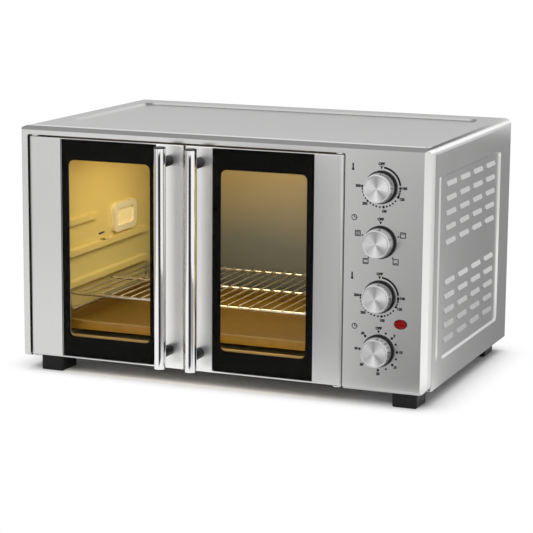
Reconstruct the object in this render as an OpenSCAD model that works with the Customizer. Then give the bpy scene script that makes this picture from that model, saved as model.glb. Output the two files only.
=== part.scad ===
// Countertop oven with two side-hinged doors, four rotary controls and a lit cavity.
// Sizes are in millimetres. +Z is up, the front faces -Y, and the feet stand on Z = 0.

/* [Casing] */
// Overall width of the casing
body_w = 660; // [630:1:720]
// Height of the casing above the feet
body_h = 360; // [347:1:400]
// Depth from the flat front to the back edge
body_d = 444; // [428:1:488]
// Thickness of every folded sheet
sheet = 1.2; // [0.8:0.1:1.5]
// Outside radius of the two long upper edges
wrap_r = 12; // [9:0.5:16]
// Outside radius of the upright edges at the back
rear_r = 8; // [6:0.5:11]
// Outside radius of the upper edge at the back
rear_top_r = 16; // [10:0.5:20]
// Width of the lip that the rear panel is screwed to
lip_w = 14; // [13:0.5:18]
// Gap of the seam between fascia and wrap
seam = 0.6; // [0.3:0.1:0.9]

/* [Pressed panels] */
// Depth of the pressed panels in the top and sides
press_depth = 3; // [2:0.25:4]
// Front edge of the pressed side panel
side_press_front = 80; // [76:1:86]
// Back edge of the pressed side panel
side_press_back = 381; // [366:1:398]
// Lower edge of the pressed side panel
side_press_low = 38; // [30:1:50]
// Upper edge of the pressed side panel
side_press_high = 314; // [310:1:322]
// Corner radius of the pressed side panel
side_press_r = 9; // [7:0.5:14]
// Distance of the upright groove from the front
groove_y = 55; // [50:1:60]
// Width of the upright groove
groove_w = 9; // [8.5:0.5:12]
// Distance of the pressed top panel from the sides
top_press_side = 36; // [30:1:50]
// Front edge of the pressed top panel
top_press_front = 104; // [90:1:130]
// Distance of the pressed top panel from the back
top_press_back = 50; // [40:1:70]
// Corner radius of the pressed top panel
top_press_r = 22; // [12:1:40]

/* [Vents] */
// Length of a louvre
vent_l = 49; // [40:1:58]
// Height of a louvre
vent_h = 8; // [6:0.5:10]
// Stand-off of the lower edge of a louvre
vent_lift = 2.4; // [1.5:0.1:2.6]
// Louvres side by side
vent_columns = 4; // [2:1:4]
// Louvres above each other in a group
vent_rows = 5; // [2:1:5]
// Middle of the front column
vent_first_y = 121; // [116:1:126]
// Spacing of the columns
vent_pitch_y = 69.7; // [60:0.1:72]
// Middle of the top row in the upper group
vent_high_z = 298; // [290:1:300]
// Middle of the top row in the lower group
vent_low_z = 151; // [145:1:158]
// Spacing of the rows
vent_pitch_z = 21.8; // [18:0.1:22.5]

/* [Fascia] */
// Depth of the fascia from the flat front to the seam
fascia_depth = 33; // [31:0.5:40]
// Width of the bevel at both sides of the fascia, seen from the front
bevel_w = 7; // [4:0.5:10]
// Height of the bevel above the doors
bevel_top = 5; // [3:0.5:9]
// Depth of the bevel at the sides and above
bevel_d = 13.5; // [9:0.5:18]
// Height and depth of the bevel at the bottom
bevel_low = 5; // [3:0.5:8]
// Corner radius of the fascia, seen from the front
fascia_r = 11; // [8:0.5:16]
// Width of the post beside the left door
post_w = 17; // [16:0.5:20]
// Height of the rail above the doors
rail_h = 12; // [11:0.5:16]
// Width of the control panel
panel_w = 126; // [120:1:135]
// Corner radius of the door opening
opening_r = 3; // [2:0.5:3.5]
// Depth of the fold round the door opening
fold_d = 18; // [12:0.5:20]

/* [Doors] */
// Gap between a door's outer edge and the fascia
door_gap = 1.6; // [1.5:0.1:3]
// Gap above the doors
top_gap = 2.5; // [2.4:0.1:3.5]
// Gap between the two doors
centre_gap = 3; // [2:0.5:6]
// Shift of that gap to the right of the opening's middle
centre_shift = 4.5; // [0:0.5:6]
// Height of the doors' lower edge above the casing's bottom
door_foot = 3; // [2.8:0.1:5]
// Thickness of a door
door_t = 17; // [15:0.5:18]
// Radius of the upright fold at a door's hinged edge
door_fold_r = 6; // [3:0.5:7]
// Radius of the other folds of a door
hem_r = 2.5; // [2:0.25:3]
// Width of the right door's steel strip beside the hinge
hinge_strip = 46; // [40:0.5:52]
// Width of the steel strip beside a door's free edge
free_strip = 44.5; // [40:0.5:48]
// Thickness of the glass
glass_t = 4; // [3:0.5:5]
// Height of the pan's lower edge in front of the glass
glass_foot = 3; // [2:0.5:6]
// Height of the pan's upper edge in front of the glass
glass_head = 2; // [1.6:0.2:4]
// Black border beside the window
border_side = 12.2; // [9:0.1:20]
// Black border above and below the window
border_end = 31.5; // [20:0.5:45]
// Corner radius of the window
window_r = 9; // [5:0.5:14]
// Distance of a hinge pin from the door's edge
pin_inset = 9; // [8:0.5:11]
// Distance of a hinge pin from the door's face
pin_back = 8.5; // [8:0.25:9]
// Diameter of a hinge pin
pin_d = 5; // [4:0.25:6]

/* [Handles] */
// Diameter of a handle tube
bar_d = 18; // [14:0.5:20]
// Wall of a handle tube
bar_wall = 1.5; // [1:0.1:2.5]
// Length of a handle with its end plugs
bar_l = 337; // [300:1:345]
// Height of a handle's lower end above the casing's bottom
bar_foot = 8; // [6:0.5:20]
// Distance of a handle's axis from the door's face
bar_out = 32; // [28:0.5:40]
// Distance of a handle's axis from the door's free edge
bar_inset = 23.7; // [20:0.1:28]
// Diameter of a handle post
post_d = 16; // [12:0.5:18]
// Distance of a handle post from the handle's end
post_inset = 24; // [20:1:60]

/* [Controls] */
// Distance of the knobs from the right edge
knob_right = 71; // [66:0.5:76]
// Height of the lowest knob above the casing's bottom
knob_low = 62; // [58:1:70]
// Distance of the highest knob from the casing's top
knob_top = 58; // [54:1:68]
// Reach of a knob in front of the panel
knob_out = 22; // [18:0.5:26]
// Diameter of a knob at its face
knob_d = 41; // [36:0.5:46]
// Diameter of a knob's skirt
skirt_d = 48; // [44:0.5:54]
// Diameter of the control shafts
shaft_d = 6; // [5:0.25:7]
// Indicator lamp, distance from the right edge
lens_right = 38; // [32:0.5:42]
// Indicator lamp, height above the casing's bottom
lens_z = 104; // [98:1:108]
// Indicator lamp, width of its lens
lens_w = 20; // [16:0.5:24]
// Indicator lamp, height of its lens
lens_h = 14.5; // [12:0.5:18]

/* [Cavity] */
// Distance of the cavity's left wall from the left edge
cavity_left = 36; // [34:0.5:40]
// Distance of the cavity's right wall from the right edge
cavity_right = 142; // [140:0.5:146]
// Height of the cavity's floor above the casing's bottom
cavity_low = 16; // [12:0.5:18]
// Distance of the cavity's roof from the casing's top
cavity_top = 26; // [24:0.5:30]
// Distance of the cavity's back wall from the casing's back
cavity_back_gap = 44; // [40:1:56]
// Distance of the mouth frame from the flat front
mouth_y = 24; // [23:0.5:26]
// Height of the sill above the casing's bottom
sill_z = 36; // [33:0.5:36]
// Height of the tray's rails above the casing's bottom
tray_rail = 53; // [50:0.5:56]
// Spacing of the rack rails above the tray's rails
rail_pitch = 50; // [46:0.5:52]
// Reach of a rail into the cavity
rail_reach = 8; // [6:0.5:9]

/* [Rack and tray] */
// Height of the rack's grid above the tray's rim
rack_rise = 32; // [24:0.5:36]
// Front of the rack
rack_front = 90; // [86:1:120]
// Diameter of the rack's frame wire
frame_wire = 4.5; // [4:0.25:5]
// Diameter of the rack's grid wires
grid_wire = 3; // [2.5:0.25:3.5]
// Number of grid wires
grid_count = 25; // [15:1:29]
// Front of the tray's rim
tray_front = 42; // [40:1:60]
// Depth of the tray
tray_depth = 15; // [10:0.5:15]
// Slack at the back of the rack and the tray
back_slack = 24; // [18:1:40]

/* [Heaters] */
// Diameter of a heater rod
rod_d = 8; // [6:0.5:9]
// Distance of the upper rods from the roof
rod_drop = 12; // [10:0.5:16]
// Distance of the lower rods from the floor
rod_rise = 9; // [8:0.5:11]
// Distance of the front rods from the flat front
rod_front = 130; // [110:1:150]
// Distance of the rear rods from the flat front
rod_rear = 300; // [280:1:330]

/* [Feet] */
// Height of a foot
foot_h = 24; // [16:0.5:30]
// Width of a foot
foot_w = 38; // [32:0.5:46]
// Length of a foot, front to back
foot_l = 48; // [36:0.5:56]
// Distance of the left feet from the left edge
foot_left = 28; // [20:1:40]
// Distance of the right feet from the right edge
foot_right = 16; // [10:1:30]
// Distance of the front feet from the flat front
foot_front = 15; // [14:1:40]
// Distance of the rear feet from the back
foot_rear = 20; // [16:1:40]

/* [Hidden] */
$fn = 64;
// Radial clearance of a turning fit
run = 0.08;
// Clearance between pieces that lie loosely beside each other
loose = 0.3;
// Overshoot of a cut through a face
cut = 1;

// Depth of the lip below the top at the back
lip_top = rear_top_r + lip_w - rear_r;

// Door opening
open_l = post_w;
open_r = body_w - panel_w;
open_t = body_h - rail_h;
mid_x = (open_l + open_r) / 2 + centre_shift;

// Doors, drawn from their outer lower front corner
left_w = mid_x - centre_gap / 2 - open_l - door_gap;
right_w = open_r - door_gap - mid_x - centre_gap / 2;
door_h = open_t - top_gap - door_foot;
glass_w = right_w - free_strip - hinge_strip;
glass_h = door_h - glass_foot - glass_head;
window_w = glass_w - 2 * border_side;
window_h = glass_h - 2 * border_end;
window_z = glass_foot + border_end;
// Lap of the pan and the liner behind the black border
window_lap = 4;
glass_r = 1.5;
bracket_t = 1.8;
bracket_gap = 0.4;
bracket_w = 14;
pin_grip = 9;
cap_t = 2;

// Controls, from the top to the bottom
knob_x = body_w - knob_right;
knob_pitch = (body_h - knob_top - knob_low) / 3;
knob_z = [for (i = [3:-1:0]) knob_low + i * knob_pitch];
knob_gap = 1;
face_t = 1;
bush_d = 10;
bush_out = 3;
shaft_in = 12;
unit_y = sheet + 2;
knob_cap = 5;
knob_edge = 1.2;
lens_lap = 2;

// Cavity
cav_l = cavity_left;
cav_r = body_w - cavity_right;
cav_b = cavity_low;
cav_t = body_h - cavity_top;
cav_y0 = mouth_y + sheet;
cav_y1 = body_d - cavity_back_gap;
mouth_lap = 14;
mouth_r = open_r + mouth_lap;
rail_y0 = 60;
rail_t = 12;
rail_r = 5.5;
rail_slope = 1.5;
rail_short = 130;
rail_full = cav_y1 - back_slack - rail_y0;
lamp_y = 290;
lamp_z = 181;
lamp_w = 84;
lamp_h = 48;
spit_y = (mouth_y + cav_y1) / 2;
spit_z = 162;

// Rack and tray
rim_t = 1.2;
rim_z = tray_rail + loose;
tray_rim_w = 9;
rack_foot_z = rim_z + rim_t + loose + frame_wire / 2;
rack_z = rim_z + rack_rise;
rack_back = cav_y1 - back_slack;

// Rear of the object and its middle, front to back
gland_flange = 5;
gland_d = 16;
gland_right = 70;
gland_z = 36;
rear_reach = gland_flange - sheet;
front_reach = bar_out + bar_d / 2;
front_y = -(body_d + rear_reach - front_reach) / 2;

// Placing and extruding

// Moves pieces drawn from the casing's lower left front corner to the object's frame
module from_corner() translate([-body_w / 2, front_y, foot_h]) children();

// Extrudes a profile drawn in X and Z from y0 to y1
module span_y(y0, y1) translate([0, y1, 0]) rotate([90, 0, 0]) linear_extrude(y1 - y0) children();

// Extrudes a profile drawn in Y and Z from x0 to x1
module span_x(x0, x1) translate([x0, 0, 0]) rotate([90, 0, 90]) linear_extrude(x1 - x0) children();

// Extrudes a profile drawn in X and Y from z0 to z1
module span_z(z0, z1) translate([0, 0, z0]) linear_extrude(z1 - z0) children();

// Round rod along Y
module rod_y(d, y0, y1) translate([0, y0, 0]) rotate([-90, 0, 0]) cylinder(d = d, h = y1 - y0);

// Round rod along X
module rod_x(d, x0, x1) translate([x0, 0, 0]) rotate([0, 90, 0]) cylinder(d = d, h = x1 - x0);

// Rectangle with round corners, from its lower left corner
module soft_rect(w, h, r) {
    translate([r, 0]) square([w - 2 * r, h]);
    translate([0, r]) square([w, h - 2 * r]);
    for (x = [r, w - r], y = [r, h - r]) translate([x, y]) circle(r);
}

// Slot with round ends, centred
module slot(l, h) {
    square([l - h, h], center = true);
    for (s = [-1, 1]) translate([s * (l - h) / 2, 0]) circle(d = h);
}

// Pressed panel with sloped walls: w by h at its mouth, running up +Z and narrowing by slope
module pressing(w, h, r, depth, slope) {
    if (h > 2 * r) span_y(r, h - r) polygon([[0, 0], [w, 0], [w - slope, depth], [slope, depth]]);
    if (w > 2 * r) span_x(r, w - r) polygon([[0, 0], [h, 0], [h - slope, depth], [slope, depth]]);
    for (x = [r, w - r], y = [r, h - r])
        translate([x, y, 0]) cylinder(h = depth, r1 = r, r2 = r - slope);
}

// The same panel on the sheet's inner face, with its walls set out by the skin's thickness
module pressing_skin(w, h, r, depth, slope, skin) {
    steep = slope / depth;
    grow = skin * (sqrt(1 + steep * steep) - steep);
    translate([-grow, -grow, skin]) pressing(w + 2 * grow, h + 2 * grow, r + grow, depth, slope);
}

// Places children drawn in Y, Z and depth on the left side, running inwards
module on_left() rotate([90, 0, 90]) children();

// Places the same children on the right side
module on_right() translate([body_w, 0, 0]) mirror([1, 0, 0]) on_left() children();

// Casing

// Rounded block of the wrap, set in by inset from the outside
module wrap_block(inset, y0, z0) {
    far = 100;
    side_r = wrap_r - inset;
    back_r = rear_r - inset;
    intersection() {
        span_y(y0, body_d - inset) translate([inset, -far])
            soft_rect(body_w - 2 * inset, body_h - inset + far, side_r);
        span_z(z0, body_h) translate([inset, -far])
            soft_rect(body_w - 2 * inset, body_d - inset + far, back_r);
        span_x(0, body_w) translate([-far, -far])
            soft_rect(body_d - inset + far, body_h - inset + far, rear_top_r - inset);
    }
}

// Pressed panel and upright groove of one side
module side_pressings(skin) {
    translate([side_press_front, side_press_low, 0])
        pressing_skin(side_press_back - side_press_front, side_press_high - side_press_low,
            side_press_r, press_depth, press_depth, skin);
    translate([groove_y - groove_w / 2, side_press_low + side_press_r / 2, 0])
        pressing_skin(groove_w, side_press_high - side_press_low - side_press_r / 2,
            groove_w / 2, press_depth, press_depth, skin);
}

// All pressed panels of the wrap
module wrap_pressings(skin) {
    on_left() side_pressings(skin);
    on_right() side_pressings(skin);
    translate([top_press_side, top_press_front, body_h]) mirror([0, 0, 1])
        pressing_skin(body_w - 2 * top_press_side, body_d - top_press_back - top_press_front,
            top_press_r, press_depth, press_depth, skin);
}

// Places children at each louvre of one side
module at_vents() {
    for (high = [vent_high_z, vent_low_z], row = [0:vent_rows - 1], column = [0:vent_columns - 1])
        translate([vent_first_y + column * vent_pitch_y, high - row * vent_pitch_z, press_depth])
            children();
}

// Hood of one louvre: its upper edge in the sheet, its lower edge standing off
module vent_hood() {
    tilt = asin(vent_lift / vent_h);
    sink = 0.2;
    translate([0, vent_h / 2, sink]) rotate([tilt, 0, 0]) translate([0, -vent_h / 2, 0])
        linear_extrude(sheet) slot(vent_l, vent_h);
}

// Opening behind one louvre
module vent_slot() {
    edge = 1;
    translate([0, -edge / 2, -cut]) linear_extrude(sheet + 2 * cut) slot(vent_l - 2 * edge, vent_h - edge);
}

module outer_wrap() color("silver") from_corner() {
    wrap_front = fascia_depth + seam;
    difference() {
        wrap_block(0, wrap_front, 0);
        difference() {
            wrap_block(sheet, wrap_front - cut, -cut);
            wrap_pressings(sheet);
        }
        wrap_pressings(0);
        span_y(body_d - lip_w, body_d + cut) translate([lip_w, -cut])
            square([body_w - 2 * lip_w, body_h - lip_top + cut]);
        on_left() at_vents() vent_slot();
        on_right() at_vents() vent_slot();
        at_casing_screws() rod_y(screw_hole, -2 * sheet, cut);
    }
    on_left() at_vents() vent_hood();
    on_right() at_vents() vent_hood();
}

// Rear panel and its screws
screw_d = 3.4;
screw_hole = 3.6;
screw_head_d = 7;
screw_head_h = 2.2;
screw_l = 9;

// Places children on the back face of the lip at each casing screw
module at_casing_screws() {
    lip_mid = (rear_r + lip_w) / 2;
    top_mid = (rear_top_r + lip_top) / 2;
    side_end = 40;
    top_end = 60;
    for (x = [lip_mid, body_w - lip_mid], z = [side_end, body_h / 2, body_h - side_end])
        translate([x, body_d, z]) children();
    for (x = [top_end, body_w / 3, body_w * 2 / 3, body_w - top_end])
        translate([x, body_d, body_h - top_mid]) children();
}

module rear_panel() color("darkgray") from_corner() {
    slot_rows = 6;
    slot_l = 46;
    slot_h = 5;
    slot_pitch = 12;
    slot_side = 90;
    slot_step = slot_l + 24;
    slot_x = [slot_side, slot_side + slot_step, body_w - gland_right];
    slot_low = [body_h / 5, body_h * 3 / 5];
    difference() {
        span_y(body_d - 2 * sheet, body_d - sheet) translate([rear_r + loose, 0])
            square([body_w - 2 * (rear_r + loose), body_h - rear_top_r - loose]);
        at_casing_screws() rod_y(screw_hole, -3 * sheet, cut);
        for (x = slot_x, row = [0:slot_rows - 1], low = slot_low)
            translate([x, body_d, low + row * slot_pitch])
                span_y(-3 * sheet, cut) slot(slot_l, slot_h);
        at_gland() rod_y(gland_d, -3 * sheet, cut);
    }
}

module casing_screws() color("gray") from_corner() at_casing_screws() {
    rod_y(screw_d, -screw_l, 0);
    intersection() {
        rod_y(screw_head_d, 0, screw_head_h);
        translate([0, screw_head_h - screw_head_d, 0]) sphere(screw_head_d);
    }
}

// Places children at the cord's way out in the rear panel
module at_gland() translate([body_w - gland_right, body_d - sheet, gland_z]) children();

module cord_gland() color("dimgray") from_corner() at_gland() {
    gland_bore = 8;
    gland_in = 9;
    flange_w = 4;
    collar_w = 1.5;
    difference() {
        union() {
            rod_y(gland_d + 2 * flange_w, 0, gland_flange / 2);
            rod_y(gland_d + 2 * collar_w, 0, gland_flange);
            rod_y(gland_d - 2 * run, -gland_in, 1);
        }
        rod_y(gland_bore, -gland_in - cut, gland_flange + cut);
    }
}

module base_plate() color("gray") from_corner() {
    flange = 12;
    y1 = body_d - 2 * sheet;
    slot_l = 50;
    slot_h = 6;
    slot_pitch = 16;
    slot_count = 8;
    slot_x = [body_w / 4, body_w / 2, body_w - 90];
    difference() {
        union() {
            span_z(0, sheet) intersection() {
                translate([sheet, 0]) soft_rect(body_w - 2 * sheet, y1, rear_r);
                translate([0, fascia_depth]) square([body_w, y1 - fascia_depth]);
            }
            for (x = [sheet, body_w - 2 * sheet])
                translate([x, fascia_depth + seam, 0])
                    cube([sheet, y1 - fascia_depth - seam - rear_r, flange]);
            translate([lip_w, y1 - sheet, 0]) cube([body_w - 2 * lip_w, sheet, flange]);
        }
        for (x = slot_x, i = [0:slot_count - 1])
            translate([x, body_d / 3 + i * slot_pitch, -cut])
                linear_extrude(sheet + 2 * cut) slot(slot_l, slot_h);
    }
}

// One foot, from its left front corner, hanging below the casing
module foot() {
    plan_r = 4;
    sole_r = 3;
    over = 3 * sole_r;
    intersection() {
        span_z(-foot_h, 0) soft_rect(foot_w, foot_l, plan_r);
        span_y(0, foot_l) translate([0, -foot_h]) soft_rect(foot_w, foot_h + over, sole_r);
        span_x(0, foot_w) translate([0, -foot_h]) soft_rect(foot_l, foot_h + over, sole_r);
    }
}

module left_foot(y) color("black") from_corner() translate([foot_left, y, 0]) foot();
module right_foot(y) color("black") from_corner() translate([body_w - foot_right - foot_w, y, 0]) foot();

// Bevelled block of the fascia, set in by inset from the outside
module fascia_block(inset, y1) {
    far = 50;
    w = body_w - inset;
    h = body_h - inset;
    by = inset + bevel_d;
    intersection() {
        span_y(0, y1) translate([inset, inset])
            soft_rect(body_w - 2 * inset, body_h - 2 * inset, fascia_r - inset);
        span_z(0, body_h) polygon([[inset + bevel_w, inset], [w - bevel_w, inset], [w, by],
            [w, far], [inset, far], [inset, by]]);
        span_x(0, body_w) polygon([[inset, inset + bevel_low], [inset + bevel_low, inset],
            [far, inset], [far, h], [by, h], [inset, h - bevel_top]]);
    }
}

// Outline of the door opening, grown by grow and open at the bottom
module door_opening(grow) {
    drop = 40;
    translate([open_l - grow, -drop])
        soft_rect(open_r - open_l + 2 * grow, open_t + grow + drop, opening_r + grow);
}

module front_fascia() color("lightgray") from_corner() {
    difference() {
        union() {
            difference() {
                fascia_block(0, fascia_depth);
                fascia_block(sheet, fascia_depth + cut);
            }
            intersection() {
                fascia_block(0, fascia_depth);
                span_y(0, fold_d) door_opening(sheet);
            }
        }
        span_y(-cut, fascia_depth + cut) door_opening(0);
        for (z = knob_z) translate([knob_x, 0, z]) rod_y(bush_d + 2 * run, -cut, 2 * sheet + cut);
        at_lens() span_y(-cut, 2 * sheet + cut)
            slot(lens_w - 2 * lens_lap + 2 * run, lens_h - 2 * lens_lap + 2 * run);
    }
}

module mouth_frame() color("tan") from_corner() {
    difference() {
        span_y(mouth_y, mouth_y + sheet) intersection() {
            translate([sheet, sheet]) soft_rect(body_w - 2 * sheet, body_h - 2 * sheet, fascia_r);
            square([mouth_r, body_h]);
        }
        translate([cav_l, mouth_y - cut, sill_z])
            cube([cav_r - cav_l, sheet + 2 * cut, cav_t - sill_z]);
    }
    translate([open_l, mouth_y, 0]) cube([open_r - open_l, fascia_depth - mouth_y, sheet]);
}

// Cavity

// Length of the rail at one level: the top one is short
function rail_l(level) = level == 3 ? rail_short : rail_full;

// Places children at the lower front corner of the rail at one level
module at_rail(level) translate([rail_y0, tray_rail + level * rail_pitch - rail_t, 0]) children();

// Rails of one side wall, pressed into the cavity
module wall_rails() for (level = [0:3])
    at_rail(level) pressing(rail_l(level), rail_t, rail_r, rail_reach, rail_slope);

// Hollows behind the rails
module rail_hollows() {
    inset = rail_slope + sheet;
    for (level = [0:3])
        at_rail(level) translate([inset, inset, -sheet - cut]) linear_extrude(rail_reach + cut)
            soft_rect(rail_l(level) - 2 * inset, rail_t - 2 * inset, rail_r - inset);
}

// One side wall of the cavity, drawn in Y, Z and depth from its outer face
module side_wall() {
    difference() {
        union() {
            translate([cav_y0, cav_b, 0]) cube([cav_y1 - cav_y0, cav_t - cav_b, sheet]);
            translate([0, 0, sheet]) wall_rails();
        }
        translate([0, 0, sheet]) rail_hollows();
        for (y = [rod_front, rod_rear], z = [cav_t - rod_drop, cav_b + rod_rise])
            translate([y, z, -cut]) cylinder(d = bush_seat_d + 2 * run, h = sheet + 2 * cut);
    }
}

module cavity_left_wall() color("khaki") from_corner() {
    tab_w = 14;
    tab_out = 10;
    tab_up = 5;
    tab_z = spit_z - 8;
    slot_w = 22;
    slot_h = 4;
    lamp_edge = 12;
    lamp_hole_r = 6;
    translate([cav_l - sheet, 0, 0]) on_left() {
        difference() {
            side_wall();
            translate([spit_y, spit_z, -cut]) linear_extrude(sheet + 2 * cut) slot(slot_w, slot_h);
            translate([lamp_y - lamp_w / 2 + lamp_edge, lamp_z - lamp_h / 2 + lamp_edge, -cut])
                linear_extrude(sheet + 2 * cut)
                    soft_rect(lamp_w - 2 * lamp_edge, lamp_h - 2 * lamp_edge, lamp_hole_r);
        }
        translate([spit_y - tab_w / 2, tab_z, 0]) cube([tab_w, sheet, tab_out + sheet]);
        translate([spit_y - tab_w / 2, tab_z, tab_out]) cube([tab_w, tab_up, sheet]);
    }
}

module cavity_right_wall() color("khaki") from_corner() {
    translate([cav_r + sheet, 0, 0]) mirror([1, 0, 0]) on_left()
        difference() {
            side_wall();
            translate([spit_y, spit_z, -cut]) cylinder(d = socket_d + 2 * run, h = sheet + 2 * cut);
        }
}

module cavity_roof() color("khaki") from_corner()
    translate([cav_l - sheet, cav_y0, cav_t]) cube([cav_r - cav_l + 2 * sheet, cav_y1 - cav_y0, sheet]);

module cavity_floor() color("khaki") from_corner()
    translate([cav_l - sheet, cav_y0, cav_b - sheet])
        cube([cav_r - cav_l + 2 * sheet, cav_y1 - cav_y0, sheet]);

module cavity_back() color("khaki") from_corner()
    translate([cav_l - sheet, cav_y1, cav_b - sheet])
        cube([cav_r - cav_l + 2 * sheet, sheet, cav_t - cav_b + 2 * sheet]);

// Heaters: straight rods through ceramic bushes in the side walls
bush_seat_d = 14;
bush_flange_d = 19;
bush_flange_t = 4;
bush_in = 2;
rod_end = 14;

module heater(y, z) color("dimgray") from_corner() translate([0, y, z]) {
    pin_w = 3;
    pin_l = 8;
    rod_x(rod_d, cav_l - rod_end, cav_r + rod_end);
    rod_x(pin_w, cav_l - rod_end - pin_l, cav_r + rod_end + pin_l);
}

module heater_bush() {
    difference() {
        union() {
            rod_x(bush_seat_d, -cut, sheet + bush_in);
            rod_x(bush_flange_d, -bush_flange_t, 0);
        }
        rod_x(rod_d + 2 * run, -bush_flange_t - cut, sheet + bush_in + cut);
    }
}

module heater_bushes() color("white") from_corner()
    for (y = [rod_front, rod_rear], z = [cav_t - rod_drop, cav_b + rod_rise]) {
        translate([cav_l - sheet, y, z]) heater_bush();
        translate([cav_r + sheet, y, z]) mirror([1, 0, 0]) heater_bush();
    }

// Oven lamp on the left wall
cover_t = 3;
bezel_t = 6;
bezel_r = 12;
bezel_w = 10;
bezel_hole_r = 8;
seat_w = 8;
seat_r = 9;
housing_d = 24;
housing_edge = 6;
housing_r = 6;
holder_d = 20;
holder_l = 16;
holder_floor = 4;
bulb_base_d = 14;
bulb_d = 16;
bulb_l = 30;

module lamp_plate(w, h, r, x0, x1) from_corner()
    span_x(cav_l + x0, cav_l + x1) translate([lamp_y - w / 2, lamp_z - h / 2]) soft_rect(w, h, r);

module lamp_bezel() color("tan") difference() {
    lamp_plate(lamp_w, lamp_h, bezel_r, 0, bezel_t);
    lamp_plate(lamp_w - 2 * bezel_w, lamp_h - 2 * bezel_w, bezel_hole_r, -cut, bezel_t + cut);
    lamp_plate(lamp_w - 2 * seat_w, lamp_h - 2 * seat_w, seat_r, -cut, cover_t);
}

module lamp_cover() color("lightyellow") {
    inset = seat_w + loose;
    lamp_plate(lamp_w - 2 * inset, lamp_h - 2 * inset, seat_r - loose, 0, cover_t);
}

// Places children on the bulb's axis at the mouth of its holder
module at_holder() from_corner()
    translate([cav_l - sheet - housing_d / 2, lamp_y + lamp_w / 2 - housing_edge - holder_l, lamp_z])
        children();

module lamp_housing() color("gray") {
    w = lamp_w - 2 * housing_edge;
    h = lamp_h - 2 * housing_edge;
    difference() {
        lamp_plate(w, h, housing_r, -sheet - housing_d, -sheet);
        lamp_plate(w - 2 * sheet, h - 2 * sheet, housing_r - sheet, -housing_d, -sheet + cut);
    }
    at_holder() difference() {
        rod_y(holder_d, 0, holder_l - sheet / 2);
        rod_y(bulb_base_d, -cut, holder_l - holder_floor);
    }
}

module lamp_bulb() color("ivory") at_holder() {
    rod_y(bulb_base_d - 2 * run, 0, holder_l - holder_floor);
    rod_y(bulb_d, -bulb_l, 0);
    translate([0, -bulb_l, 0]) sphere(d = bulb_d);
}

// Control units behind the panel, drawn round the shaft's axis

module control_bush(y1) difference() {
    rod_y(bush_d, -bush_out, y1);
    rod_y(shaft_d + 2 * run, -bush_out - cut, y1 + cut);
}

// Clear way round the shaft, inside the bush
module shaft_way() rod_y(bush_d - 2, 0, shaft_in + 3);

// Bush and seat of a unit against the back of the panel, joined to its case
module unit_frame(index, w, h) from_corner() translate([knob_x, 0, knob_z[index]]) {
    seat_corner = 3;
    control_bush(shaft_in + 2);
    difference() {
        union() {
            span_y(sheet, unit_y) translate([-w / 2, -h / 2]) soft_rect(w, h, seat_corner);
            children();
        }
        shaft_way();
    }
}

// Flat connector blade on the back of a unit
module blade(y0, l, w, h) span_y(y0, y0 + l) square([w, h], center = true);

module thermostat(index) color("beige") {
    case_w = 28;
    case_h = 40;
    case_r = 2;
    back_y = unit_y + 16;
    stem_d = 14;
    stem_z = 12;
    stem_l = 4;
    blade_z = 15;
    blade_l = 14;
    unit_frame(index, case_w + 6, case_h + 4) {
        span_y(unit_y, back_y) translate([-case_w / 2, -case_h / 2]) soft_rect(case_w, case_h, case_r);
        translate([0, 0, stem_z]) rod_y(stem_d, back_y, back_y + stem_l);
        for (z = [-blade_z, blade_z]) translate([0, 0, z]) blade(back_y, blade_l, 6, 1);
    }
}

module function_switch() color("saddlebrown") {
    drum_d = 38;
    back_y = unit_y + 22;
    blade_r = 13;
    blade_l = 10;
    unit_frame(1, drum_d + 2, drum_d + 2) {
        rod_y(drum_d, unit_y, back_y);
        for (a = [0:60:300]) rotate([0, a, 0]) translate([blade_r, 0, 0]) blade(back_y, blade_l, 1, 6);
    }
}

module timer_unit() color("goldenrod") {
    drum_d = 44;
    back_y = unit_y + 24;
    bell_d = 40;
    bell_r = 26;
    bell_rise = 12;
    unit_frame(3, drum_d + 2, drum_d + 2) {
        rod_y(drum_d, unit_y, back_y);
        translate([0, back_y, 0]) intersection() {
            translate([0, bell_rise - bell_r, 0]) sphere(bell_r);
            rod_y(bell_d, -cut, bell_rise + cut);
        }
    }
}

// Places children at the indicator lamp, with X and Z across its face
module at_lens() translate([body_w - lens_right, 0, lens_z]) children();

module indicator_lamp() color("red") from_corner() at_lens() {
    rise = 5;
    crown = 14;
    lens_in = 20;
    intersection() {
        span_y(-rise, 0) slot(lens_w, lens_h);
        translate([-lens_w, crown - rise, 0]) rod_x(2 * crown, 0, 2 * lens_w);
    }
    span_y(0, lens_in) slot(lens_w - 2 * lens_lap, lens_h - 2 * lens_lap);
}

// Knobs, drawn round their axis with the panel at Y = 0

module at_knob(index) from_corner() translate([knob_x, 0, knob_z[index]]) children();

// Turned solid: a profile of radius and reach in front of the panel
module turned() rotate([90, 0, 0]) rotate_extrude() children();

module knob(index) color("gray") at_knob(index) {
    skirt_t = 2.5;
    skirt_y = knob_gap + skirt_t;
    skirt_r = skirt_d / 2;
    face_r = knob_d / 2;
    base_r = face_r + knob_edge;
    bed_r = face_r - 2 * knob_edge;
    hollow_d = bush_d + 6;
    hollow_y = bush_out + 2;
    mark_w = 1.4;
    difference() {
        turned() polygon([
            [0, knob_gap], [skirt_r, knob_gap], [skirt_r, skirt_y - knob_edge],
            [skirt_r - knob_edge, skirt_y], [base_r, skirt_y],
            [face_r, knob_out - knob_edge], [face_r - knob_edge, knob_out], [bed_r, knob_out],
            [bed_r, knob_out - face_t], [0, knob_out - face_t]
        ]);
        rod_y(hollow_d, -hollow_y, 0);
        rod_y(shaft_d + run, -knob_out + knob_cap, 0);
        translate([-mark_w / 2, -skirt_y - cut, skirt_r - knob_edge])
            cube([mark_w, skirt_t + 2 * cut, knob_edge + cut]);
    }
}

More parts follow.
